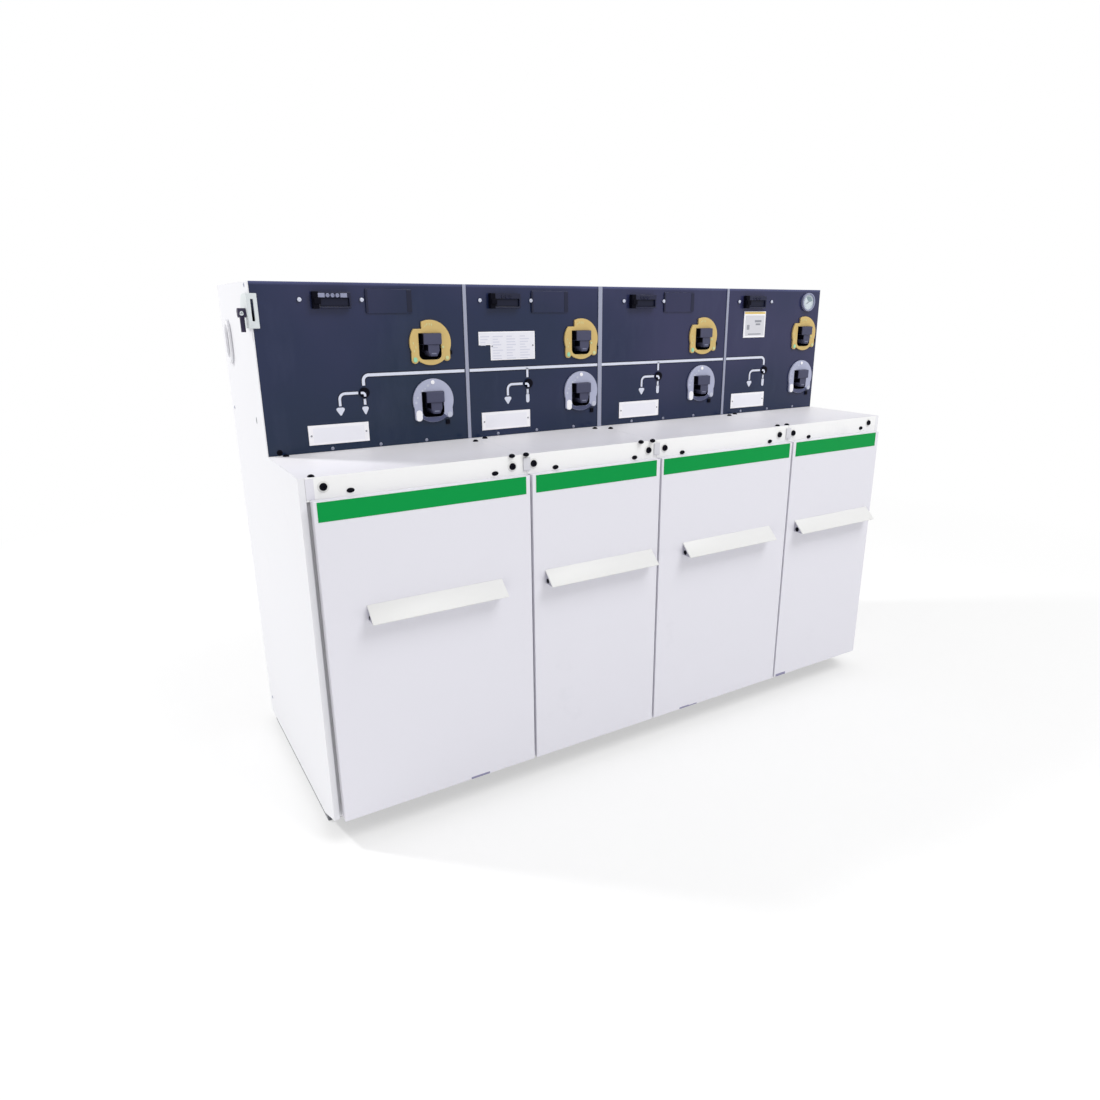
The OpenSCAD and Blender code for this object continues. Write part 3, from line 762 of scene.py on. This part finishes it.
voltage = {"endWidth": 0.012, "endOut": 0.004, "endOver": 0.001, "endTall": 0.0005,
           "knobIn": 0.001, "knobWide": 0.003, "knobUp": (0.009, 0.021),
           "windowIn": (0.004, 0.0045), "windowUp": (0.0045, 0.0205), "windowDeep": (0.0045, 0.0058),
           "spots": (0.030, 0.040, 0.050), "down": 0.007,
           "lamp": {"Radius": 0.0042, "Rise": 0.0016, "Socket": 0.0022},
           "caps": ((0.010, 0.024), (0.056, 0.070)), "capHeight": 0.0085, "capOut": 0.0012,
           "sunk": 0.0005}
for bay in bays:
    low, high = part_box(f"voltage_indicator_{bay}")
    # painted shade: a black left end with a knob, where the indicator's left side lies in shade
    endRight, face = low.x + voltage["endWidth"], low.y - voltage["endOut"] / 4
    end = Shape().block((low.x - voltage["endOver"], face, low.z - voltage["endTall"]),
                        (endRight, fasciaY - fasciaGap, high.z + voltage["endTall"]))
    knobLow, knobHigh = voltage["knobUp"]
    end.block((low.x + voltage["knobIn"], low.y - voltage["endOut"], low.z + knobLow),
              (endRight + voltage["knobWide"], face, low.z + knobHigh))
    piece(f"indicatorShadedEnd{bay}", end, black, edge=0.0015, segments=3)
    (left, right), (down, up) = voltage["windowIn"], voltage["windowUp"]
    front, back = voltage["windowDeep"]
    window = Shape().block((endRight + left, low.y + front, low.z + down),
                           (high.x - right, low.y + back, low.z + up))
    piece(f"indicatorWindow{bay}", window, windowNavy, edge=0.0004)
    lampZ = high.z - voltage["down"]
    fasteners(f"indicatorLamps{bay}", plugTree, [(low.x + x, low.y, lampZ) for x in voltage["spots"]],
              voltage["lamp"], "front", lampGrey if bay == 1 else deepNavy)
    if bay == 1:
        caps = Shape()
        for left, right in voltage["caps"]:
            caps.block((low.x + left, low.y - voltage["capOut"], lampZ - voltage["capHeight"] / 2),
                       (low.x + right, low.y + voltage["sunk"], lampZ + voltage["capHeight"] / 2))
        piece("indicatorCaps", caps, lampGrey, edge=0.001)

# dark ends of the function plates, painted as the shade at their sides, which stand in every bay but the
# last
plate = {"width": 0.101, "leftWidth": 0.005, "rightWidth": 0.011, "shift": -0.001, "in": 0.002,
         "out": 0.0006, "sunk": 0.001}
plateLow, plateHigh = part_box("function_plates")
for bay in bays[:3]:
    left = plateLow.x + centreLine[bay] - centreLine[1]
    edges = Shape()
    for x, width in ((left + plate["shift"], plate["leftWidth"]),
                     (left + plate["width"] - plate["rightWidth"], plate["rightWidth"])):
        edges.block((x, plateLow.y - plate["out"], plateLow.z + plate["in"]),
                    (x + width, plateLow.y + plate["sunk"], plateHigh.z - plate["in"]))
    piece(f"functionPlateShadeEdges{bay}", edges, deepNavy, edge=0.0004)
print("indicators and plates made")

# black edging round the lower right of each mouth, and a darker foot on the lower ring;
# corners are places of their centres, right of and above the ring's own
mouth = {"edging": 0.0008, "chin": 0.0005, "rightCorner": (0.013, -0.025), "edgingRadius": 0.0118,
         "from": (0.0248, -0.013), "to": (-0.016, -0.0368), "sunk": 0.0002, "deep": 0.002,
         "leftCorner": (-0.016, -0.025), "footRadius": 0.0124, "rimGap": 0.0004}
for bay in bays:
    for kind in ("earthing", "line_switch"):
        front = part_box(f"{kind}_ring_{bay}")[0].y
        x, z = switchCentre(kind, bay)
        start, right, left, end = ((x + side, z + up) for side, up in (
            mouth["from"], mouth["rightCorner"], mouth["leftCorner"], mouth["to"]))
        path = [start] + circlePoints(right, mouth["edgingRadius"], 0, -90, 8) + [end]
        edging = Shape().prism(ribbonOutline(path, mouth["edging"]), front + mouth["sunk"],
                               fasciaY + mouth["deep"])
        piece(f"mouthEdging_{kind}_{bay}", edging, black)
    outline = (circlePoints((x, z), ringRadius - mouth["rimGap"], -134, 84, 20)
               + circlePoints(right, mouth["footRadius"], -30, -60, 8)
               + circlePoints(left, mouth["footRadius"], -90, -60, 8))
    foot = Shape().prism(outline, front - mouth["chin"], front + mouth["sunk"])
    piece(f"ringFoot{bay}", foot, chinSlate, edge=0.0002)

# marks on the rings: places are to the right of and above the ring's centre, then their sizes
mark = {"rise": 0.0014, "tabDeep": 0.001, "tip": (-0.038, -0.042, 0.011, 0.0088),
        "dots": ((0.038, -0.034, 0.0042), (0.0290, -0.010, 0.0028)), "fleck": (0.0016, 0.005),
        "flecks": ((-0.013, 0.034, 0.002), (-0.008, 0.037, 0.001), (-0.002, 0.037, 0.0),
                   (0.004, 0.036, -0.001), (-0.040, -0.020, 0.0), (-0.036, -0.012, 0.0),
                   (-0.041, -0.003, -0.001)),
        "tabs": {"earthing": (0.0455, -0.027, 0.0520, -0.018),
                 "line_switch": (0.0295, -0.0565, 0.0385, -0.046)},
        "cap": (-0.0365, -0.0450, 0.025, 0.0150), "capDot": (-0.0005, 0.0410, 0.0046),
        "paleCap": (0.038, -0.0335, 0.0062),
        "paleDots": ((-0.012, 0.034, 0.0030), (-0.019, 0.0275, 0.0021), (-0.026, 0.023, 0.0027),
                     (-0.031, 0.015, 0.0019), (-0.038, 0.008, 0.0026), (-0.042, -0.003, 0.0030))}


def markCapsule(x, z, place):
    side, up, height, width = place
    return capsule(x + side, z + up, z + up + height, width)


def markDot(x, z, place, count=24):
    return circlePoints((x + place[0], z + place[1]), place[2], count=count)


def ringMarks(bay):
    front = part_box(f"earthing_ring_{bay}")[0].y
    raised, thin = front - mark["rise"], front - mark["rise"] / 4
    x, z = switchCentre("earthing", bay)
    tip = Shape().prism(markCapsule(x, z, mark["tip"]), raised, front)
    piece(f"earthTip{bay}", tip, tipGreen, edge=0.0005)
    flecks = Shape()
    for place in mark["dots"]:
        flecks.prism(markDot(x, z, place), raised, front)
    width, height = mark["fleck"]
    for side, up, lean in mark["flecks"]:
        left, low = x + side, z + up
        flecks.prism([(left, low), (left + width, low), (left + width + lean, low + height),
                      (left + lean, low + height)], thin, front)
    piece(f"earthFlecks{bay}", flecks, printMint, edge=0.0002)
    tabs = Shape()
    for kind, (left, low, right, high) in mark["tabs"].items():
        x, z = switchCentre(kind, bay)
        tabs.block((x + left, front + mark["tabDeep"], z + low), (x + right, fasciaY - fasciaGap, z + high))
    piece(f"ringTabs{bay}", tabs, black, edge=0.001)
    caps = Shape().prism(markCapsule(x, z, mark["cap"]), raised, front)
    caps.prism(markDot(x, z, mark["capDot"]), raised, front)
    piece(f"lineCaps{bay}", caps, labelWhite, edge=0.0005)
    pale = Shape().prism(markDot(x, z, mark["paleCap"]), raised, front)
    for place in mark["paleDots"]:
        pale.prism(markDot(x, z, place, 12), thin, front)
    piece(f"lineFlecks{bay}", pale, clearSeam, edge=0.0003)


# black flanks of painted shadow on the shutters' sides are (right of and above the ring's centre, height)
shutter = {"barWidth": 0.012, "barHeight": 0.0028, "barLow": 0.0205, "barDown": 0.0455,
           "out": 0.0006, "centre": 0.004, "back": 0.003, "sunk": 0.001, "flankFront": 0.0025,
           "flankBack": 0.010, "flankWidth": 0.0005,
           "flanks": ((-0.0204, -0.003, 0.0225), (-0.0104, -0.0175, 0.0145))}
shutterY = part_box("socket_shutters")[0].y
for bay in bays:
    ringMarks(bay)
    bars, flanks = Shape(), Shape()
    faceY = shutterY + shutter["back"]
    for kind in ("earthing", "line_switch"):
        x, z = switchCentre(kind, bay)
        # painted highlight: a pale bar near the lower end of the shutter
        barLow = z + shutter["barLow"] - shutter["barDown"]
        left = x + shutter["centre"] - shutter["barWidth"] / 2
        bars.block((left, faceY - shutter["out"], barLow),
                   (left + shutter["barWidth"], faceY + shutter["sunk"], barLow + shutter["barHeight"]))
        for side, up, height in shutter["flanks"]:
            left, low = x + side, z + up
            flanks.block((left, shutterY + shutter["flankFront"], low),
                         (left + shutter["flankWidth"], fasciaY + shutter["flankBack"], low + height))
    piece(f"shutterHighlightBars{bay}", bars, highlightGrey, edge=0.0006)
    piece(f"shutterShadowFlanks{bay}", flanks, black)
print("ring marks made")

# labels at the foot of each bay and the rating plate in bay 2: shifts from the switches' centre line
label = {"left": {1: -0.285, 2: -0.279, 3: -0.279, 4: -0.279}, "width": 0.131, "up": 0.016,
         "rivetIn": 0.006, "rivetUp": 0.020, "rivetLean": 0.002, "rivetOut": 0.0018,
         "rivet": {"Radius": 0.0022, "Rise": 0.0009, "Slot": 0.0004},
         "field": ((0.010, 0.005), (0.121, 0.036)), "print": 0.0001, "sunk": 0.0002}
rating = {"left": -0.2805, "rivets": (0.034, 0.143), "rivetDown": 0.012, "down": 0.044,
          "fields": (((0.0320, 0.002), (0.1465, 0.063)), ((0.002, 0.037), (0.0320, 0.063))),
          "in": 0.036, "columns": (-0.032, 0.0, 0.036, 0.072), "rows": 9, "tabRows": 4,
          "top": 0.010, "pitch": 0.0063, "row": {"Least": 0.012, "Most": 0.027, "Height": 0.0024}}
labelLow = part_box("label_plates")[0]
printY = labelLow.y - label["print"]
rivetY = fasciaY - label["rivetOut"]
ratingX, earthZ = centreLine[2] + rating["left"], switchCentre("earthing", 2)[1]
rivets, fields, plateField = [], Shape(), Shape()


def printField(shape, x, z, corners):
    # a field a little greyer than the border that it leaves
    (left, low), (right, high) = corners
    shape.block((x + left, printY, z + low), (x + right, labelLow.y + label["sunk"], z + high))


for bay in bays:
    left = centreLine[bay] + label["left"][bay]
    z = shelfZ + label["up"] + label["rivetUp"]
    rivets += [(left + label["rivetIn"], rivetY, z),
               (left + label["width"] - label["rivetIn"], rivetY, z + label["rivetLean"])]
    printField(fields, left, labelLow.z, label["field"])
rivets += [(ratingX + x, rivetY, earthZ - rating["rivetDown"]) for x in rating["rivets"]]
fasteners("labelRivets", screwTree, rivets, label["rivet"], "front", zinc)
piece("labelFields", fields, fieldWhite)
for corners in rating["fields"]:
    printField(plateField, ratingX, earthZ - rating["down"], corners)
piece("ratingField", plateField, plateGrey)


def makePrintTree():
    # one plain bar on each point, of random length
    tree, given = growTree("printRows", "Least", "Most", "Height")
    length = tree.node("FunctionNodeRandomValue", {2: given["Least"], 3: given["Most"], "Seed": 7},
                       data_type="FLOAT")
    bar = moved(tree, cubeOf(tree, 1.0, 0.0002, given["Height"]), (0.5, 0.0, 0.0))
    rows = onPoints(tree, given["Points"], bar, Scale=along(tree, length, 1.0, 1.0))
    return closeTree(tree, given, rows)


ratingRows = [(ratingX + rating["in"] + column, printY, earthZ + rating["top"] - row * rating["pitch"])
              for column in rating["columns"]
              for row in range(rating["rows"] if column >= 0 else rating["tabRows"])]
growPiece("ratingRows", makePrintTree(), ratingRows, rating["row"], rowGrey)

# notice plate: prints are (right of its left edge, below its top edge, width, height)
notice = {"left": -0.2465, "down": 0.061, "print": 0.00015, "header": [(0.002, 0.007, 0.080, 0.0055)],
          "field": [(0.005, 0.067, 0.075, 0.056)],
          "bars": ((0.012, 0.050, 0.010, 0.013), (0.042, 0.030, 0.026, 0.006),
                   (0.046, 0.038, 0.018, 0.005), (0.018, 0.064, 0.050, 0.003))}
noticeX, noticeTop = centreLine[4] + notice["left"], fasciaTop - notice["down"]
for name, key, raised, finish in (("noticeHeader", "header", notice["print"], headerAmber),
                                  ("noticeField", "field", notice["print"] / 2, softWhite),
                                  ("noticeBars", "bars", notice["print"], printGrey)):
    shape = Shape()
    for x, down, width, height in notice[key]:
        shape.block((noticeX + x, labelLow.y - raised, noticeTop - down),
                    (noticeX + x + width, labelLow.y, noticeTop - down + height))
    piece(name, shape, finish)
print("labels finished")

gauge = {"faceDepth": 0.0035, "faceThick": 0.001, "rim": 0.0042, "step": (0.0008, 0.004),
         "arcRadius": 0.0162, "arcWidth": 0.0125, "arcSpan": (12, 108), "arcOut": 0.0004,
         "arcSunk": 0.0002, "needleOut": (0.0012, 0.0006), "pinOut": 0.0014, "pinSunk": 0.0001,
         "tick": {"Radius": 0.0172, "Length": 0.0032}, "needle": 0.010, "needleEnd": (0.45, 0.55),
         "needleFoot": (0.0004, 0.0012), "pinRadius": 0.0016}


def makeTickTree():
    # short lines round three quarters of the dial
    tree, given = growTree("ticks", "Radius", "Length")
    ring = tree.node("GeometryNodeCurveArc", {
        "Resolution": 19, "Radius": given["Radius"], "Start Angle": math.radians(-45),
        "Sweep Angle": math.radians(270)})
    spots = tree.node("GeometryNodeCurveToPoints", {"Curve": ring}, mode="EVALUATED")
    ticks = onPoints(tree, spots, cubeOf(tree, given["Length"], 0.0004, 0.0006),
                     Rotation=spots["Rotation"])
    upright = moved(tree, ticks, turn=(math.pi / 2, 0, 0))
    return closeTree(tree, given, onPoints(tree, given["Points"], upright))


low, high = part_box("pressure_gauge")
x, z = (low.x + high.x) / 2, (low.z + high.z) / 2
faceY = low.y + gauge["faceDepth"]
radius = (high.x - low.x) / 2 - gauge["rim"]
stepDepth, middle = gauge["step"]
face = Shape().turned((x, faceY + gauge["faceThick"], z), (
    (radius, 0.0), (radius, stepDepth), (middle, gauge["faceThick"])))
piece("gaugeFace", face, dialWhite, smooth=True)
arc, inner = (circlePoints((x, z), reach, *gauge["arcSpan"], 20)
              for reach in (gauge["arcRadius"], gauge["arcRadius"] - gauge["arcWidth"]))
arcY = faceY - gauge["arcOut"]
sector = Shape().prism(arc + inner[::-1], arcY, faceY + gauge["arcSunk"])
piece("gaugeArc", sector, dialShade)
growPiece("gaugeTicks", makeTickTree(), [(x, arcY, z)], gauge["tick"], printGrey)
reach, (footX, footZ), (upper, lower) = gauge["needle"], gauge["needleFoot"], gauge["needleEnd"]
front, back = gauge["needleOut"]
needle = Shape().prism([(x - footX, z + footZ), (x - reach, z - upper * reach),
                        (x - reach, z - lower * reach), (x + footX, z - footZ)],
                       faceY - front, faceY - back)
needle.prism(circlePoints((x, z), gauge["pinRadius"]), faceY - gauge["pinOut"],
             faceY + gauge["pinSunk"])
piece("gaugeNeedle", needle, printGrey)
print("gauge made")

# rises and drops are from the line switch's centre; marks are shifts from the switches' centre line
mimic = {"thickness": 0.0005, "busWidth": 0.0065, "branchWidth": 0.0055, "busRise": 0.063,
         "markRise": 0.026, "dropEnd": 0.041, "leftX": -0.0545, "corner": 0.012, "seam": 0.0062,
         "headWidth": 0.018, "narrowHead": 0.014, "headHeight": 0.017, "leftHeadTop": -0.003,
         "rightHeadTop": -0.004, "rim": 0.005, "rimThickness": 0.0002, "tip": 0.009,
         "tipOver": (0.001, 0.006), "markGap": 0.0135, "symbol": (0.009, 0.008, 0.005),
         "symbolThickness": 0.0004, "marks": {1: -0.1575, 2: -0.1530, 3: -0.1515, 4: -0.1555},
         "head": ((0.55, 0.0), (0.92, 0.08), (1.0, 0.2), (0.94, 0.34), (0.2, 0.94), (0.08, 1.0))}


def cornerPath(start, corner, end, radius):
    # start to end by way of corner, with the corner rounded
    a, c, b = Vector(start), Vector(corner), Vector(end)
    toA, toB = (a - c).normalized(), (b - c).normalized()
    middle = c + (toA + toB) * radius
    points = [tuple(a)]
    for i in range(9):
        turn = math.radians(90 * i / 8)
        spoke = -toB * math.cos(turn) - toA * math.sin(turn)
        points.append(tuple(middle + spoke * radius))
    return points + [tuple(b)]


def arrowHead(x, top, width):
    # each step of the head's right side is a share of its half width and of its height
    right = [(share * width / 2, top - down * mimic["headHeight"]) for share, down in mimic["head"]]
    return [(x + side, z) for side, z in right] + [(x - side, z) for side, z in right[::-1]]


def mimicLines(bay, look):
    front = fasciaY - look["thickness"]
    centreX, lineZ = switchCentre("line_switch", bay)
    busZ, markZ = lineZ + look["busRise"], lineZ + look["markRise"]
    markX = centreX + look["marks"][bay]
    leftX = markX + look["leftX"]
    low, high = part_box(f"fascia_{bay}")
    busLeft, busRight = (low.x + look["seam"], busZ), (high.x - look["seam"], busZ)
    busMark, dropEnd = (markX, busZ), (markX, lineZ + look["dropEnd"])
    bus, branch, corner = look["busWidth"], look["branchWidth"], look["corner"]
    if bay == 1:
        paths = [(cornerPath(dropEnd, busMark, busRight, corner), bus)]
    elif bay == 4:
        paths = [(cornerPath(busLeft, busMark, dropEnd, corner), bus)]
    else:
        paths = [([busLeft, busRight], bus), ([busMark, dropEnd], branch)]
    paths.append((cornerPath((markX - look["markGap"], markZ), (leftX, markZ), (leftX, lineZ), corner),
                  branch))
    paths.append(([(markX, markZ - look["markGap"]), (markX, lineZ)], branch))
    shape, rim = Shape(), Shape()
    for path, width in paths:
        shape.prism(ribbonOutline(path, width), front, fasciaY)
        # painted shadow: a darker rim round each line
        rim.prism(ribbonOutline(path, width + look["rim"]), fasciaY - look["rimThickness"], fasciaY)
    shape.prism(arrowHead(leftX, lineZ + look["leftHeadTop"], look["headWidth"]), front, fasciaY)
    top = lineZ + look["rightHeadTop"]
    if bay == 1:
        shape.prism(arrowHead(markX, top, look["narrowHead"]), front, fasciaY)
    else:
        under, over = look["tipOver"]
        shape.prism(capsule(markX, top - look["headHeight"] + under, top + over, look["tip"]),
                    front, fasciaY)
    piece(f"mimicLines{bay}", shape, printWhite)
    piece(f"mimicShadowRims{bay}", rim, deepNavy)
    # the symbol on the position indicator joins the left branch to the lower one
    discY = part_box("position_indicators")[0].y
    side, down, turn = look["symbol"]
    path = cornerPath((markX - side, markZ), (markX, markZ), (markX, markZ - down), turn)
    symbol = Shape().prism(ribbonOutline(path, turn), discY - look["symbolThickness"], discY)
    piece(f"positionSymbol{bay}", symbol, printWhite)


for bay in bays:
    mimicLines(bay, mimic)
print("mimic diagram made")

view = {"place": (-1.1201, -1.7248, 1.0906), "azimuth": 32.06, "elevation": -17.43,
        "lens": 25.31, "shift": -0.0227}
camera = bpy.data.objects.new("camera", bpy.data.cameras.new("camera"))
bpy.context.scene.collection.objects.link(camera)
camera.location = view["place"]
camera.rotation_euler = (math.radians(90 + view["elevation"]), 0, -math.radians(view["azimuth"]))
camera.data.lens = view["lens"]
camera.data.sensor_width = 36
camera.data.shift_x = view["shift"]
bpy.context.scene.camera = camera

light = {"world": 0.58, "target": (0, 0, 0.7), "floorShow": 0.5, "floorClear": (1.3, 3.2),
         "floorReach": 9, "floorThick": 0.02,
         "keyLamp": {"power": 165, "size": 0.6, "place": (-3.85, 2.85, 4.4)},
         "fillLamp": {"power": 138, "size": 2.6, "place": (1.5, -3.0, 5.0)}}
for name in ("keyLamp", "fillLamp"):
    lamp = bpy.data.lights.new(name, "AREA")
    lamp.energy = light[name]["power"]
    lamp.size = light[name]["size"]
    lampObject = bpy.data.objects.new(name, lamp)
    bpy.context.scene.collection.objects.link(lampObject)
    lampObject.location = light[name]["place"]
    aim = Vector(light["target"]) - Vector(light[name]["place"])
    lampObject.rotation_euler = aim.to_track_quat("-Z", "Y").to_euler()


def backgroundRays(tree):
    # 1 where the background is seen directly, in a reflection or through glass
    rays = tree.node("ShaderNodeLightPath")
    share = rays["Is Camera Ray"] + rays["Is Glossy Ray"] + rays["Is Transmission Ray"]
    return share.math("MINIMUM", share, 1.0)


def mixShaders(tree, share, first, second):
    return tree.node("ShaderNodeMixShader", {0: share, 1: first, 2: second})


world = bpy.data.worlds.new("studio")
bpy.context.scene.world = world
world.use_nodes = True
world.node_tree.nodes.clear()
sky = Tree(world.node_tree)
plain, seen = (sky.node("ShaderNodeBackground", {"Color": (1, 1, 1, 1), "Strength": strength})
               for strength in (light["world"], 1.0))
sky.node("ShaderNodeOutputWorld", {"Surface": mixShaders(sky, backgroundRays(sky), plain, seen)})

# the floor is white paint that keeps the shadow, with part of its own white added for the eye
reach = light["floorReach"]
floorShape = Shape().block((-reach, -reach, -light["floorThick"]), (reach, reach, 0))
floorMesh = bpy.data.meshes.new("floor")
floorShape.mesh.to_mesh(floorMesh)
floorShape.mesh.free()
floorFinish, floorTree = newFinish("floorFinish")
white = blendColours(floorTree, noise(floorTree, 2.0), paint(250, 250, 250), paint(254, 254, 254))
matt = floorTree.node("ShaderNodeBsdfDiffuse", {"Color": white})
glow = floorTree.node("ShaderNodeEmission", {"Color": (1, 1, 1, 1), "Strength": 1.0})
near, far = light["floorClear"]
away = floorTree.node("ShaderNodeVectorMath", {0: objectPlace(floorTree)}, operation="LENGTH")
away = mapRange(floorTree, away, near, far, light["floorShow"], 1.0)
floorTree.node("ShaderNodeOutputMaterial", {"Surface": mixShaders(
    floorTree, backgroundRays(floorTree) * away, matt, glow)})
addObject("floor", floorMesh, floorFinish)

bpy.context.scene.view_settings.view_transform = "Standard"
print("scene ready")
